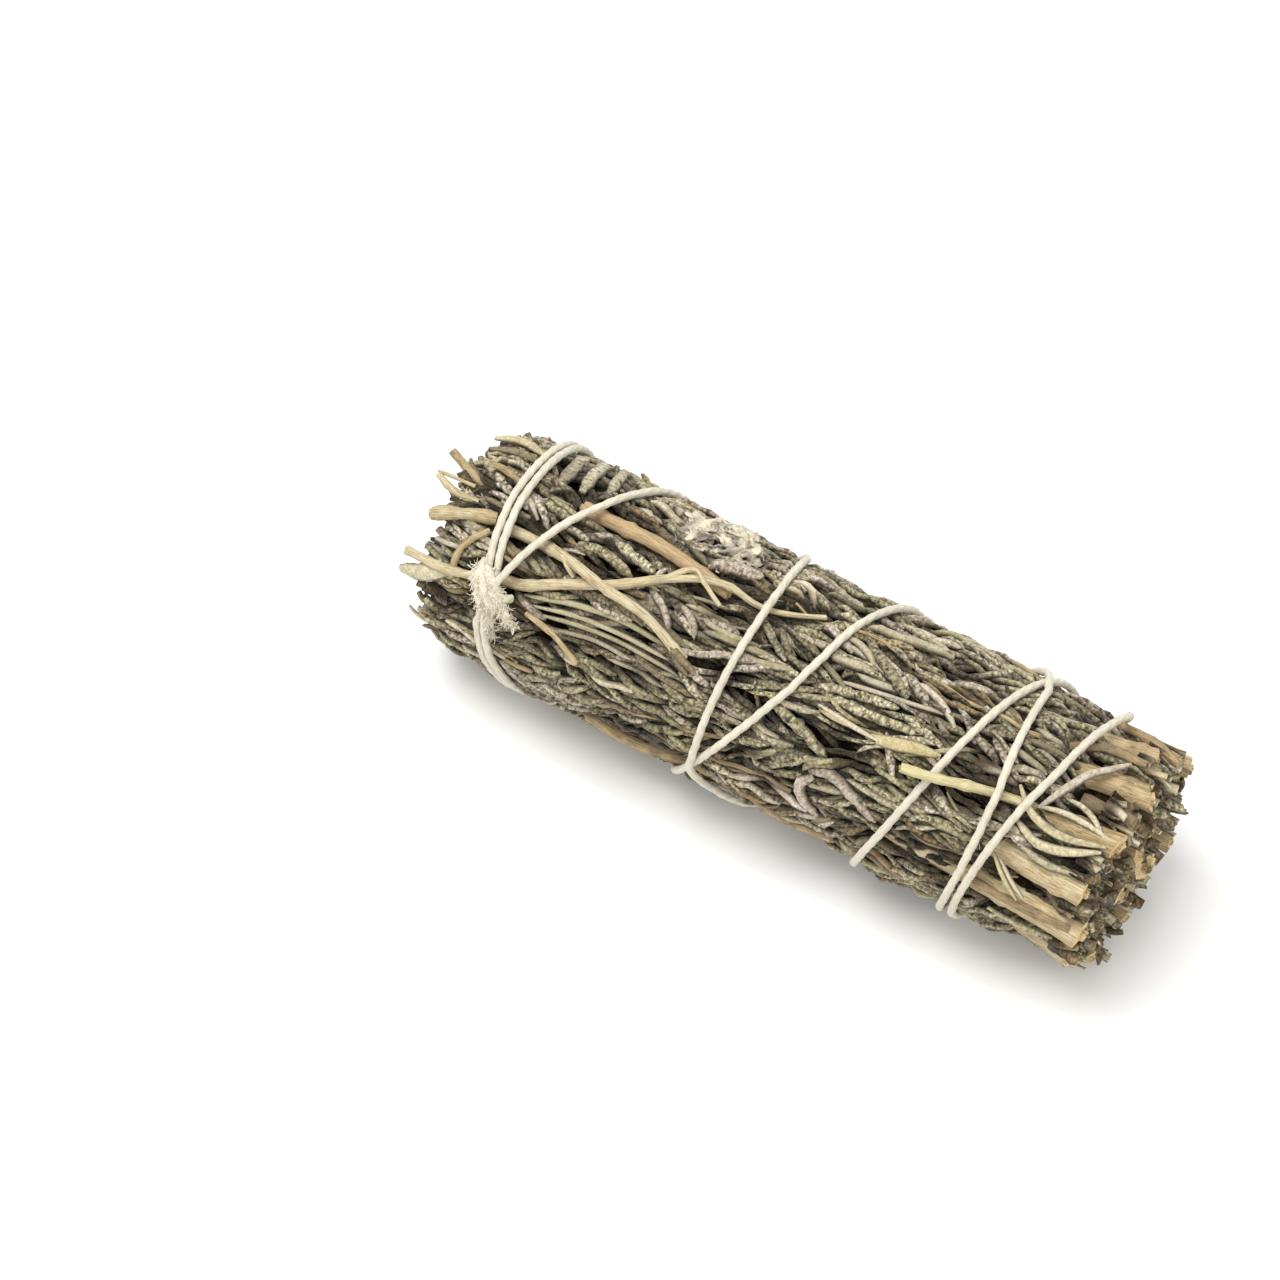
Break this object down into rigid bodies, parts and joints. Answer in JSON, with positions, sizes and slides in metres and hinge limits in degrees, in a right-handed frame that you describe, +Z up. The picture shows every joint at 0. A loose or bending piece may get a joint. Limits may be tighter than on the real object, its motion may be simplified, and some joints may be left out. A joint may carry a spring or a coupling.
{
  "type": "lavender smudge stick",
  "caption": "Bundle of dried lavender sprigs trimmed at both ends and bound criss-cross with knotted cotton string, lying on its side.",
  "frame": {"origin": "on the floor, under the middle of the bundle's box", "axes": "+X along the bundle towards its cut stem ends, +Z up, -Y towards the side with the knot"},
  "size_m": [0.1024, 0.0362, 0.0333],
  "materials": {
    "dried_leaf": "dry, crimped, matt grey-green leaf",
    "dry_stem": "dry, fibrous, matt tan stem with split cut ends",
    "pale_stalk": "dry, smooth, pale straw stalk",
    "woolly_leaf": "felted, off-white young leaf",
    "cotton_string": "twisted undyed cotton with loose fibres"
  },
  "bodies": {
    "root": {"sprig_01_leaves": "dried_leaf", "sprig_01_stem": "dry_stem", "sprig_02_leaves": "dried_leaf", "sprig_02_stem": "dry_stem", "sprig_03_leaves": "dried_leaf", "sprig_03_stem": "dry_stem", "sprig_04_leaves": "dried_leaf", "sprig_04_stem": "dry_stem", "sprig_05_leaves": "dried_leaf", "sprig_05_stem": "dry_stem", "sprig_06_leaves": "dried_leaf", "sprig_06_stem": "dry_stem", "sprig_07_leaves": "dried_leaf", "sprig_07_stem": "dry_stem", "sprig_08_leaves": "dried_leaf", "sprig_08_stem": "dry_stem", "sprig_09_leaves": "dried_leaf", "sprig_09_stem": "dry_stem", "sprig_10_leaves": "dried_leaf", "sprig_10_stem": "dry_stem", "sprig_11_leaves": "dried_leaf", "sprig_11_stem": "dry_stem", "sprig_12_leaves": "dried_leaf", "sprig_12_stem": "dry_stem", "heart_leaves": "dried_leaf", "heart_stem_1": "dry_stem", "heart_stem_2": "dry_stem", "heart_stem_3": "dry_stem", "heart_stem_4": "dry_stem", "heart_stem_5": "dry_stem", "loose_stem_forked": "dry_stem", "loose_stem_crossing": "dry_stem", "loose_stem_thick": "dry_stem", "loose_stem_low": "dry_stem", "broken_stalk": "pale_stalk", "woolly_leaf_tuft": "woolly_leaf", "cotton_string": "cotton_string"}
  },
  "joints": []
}
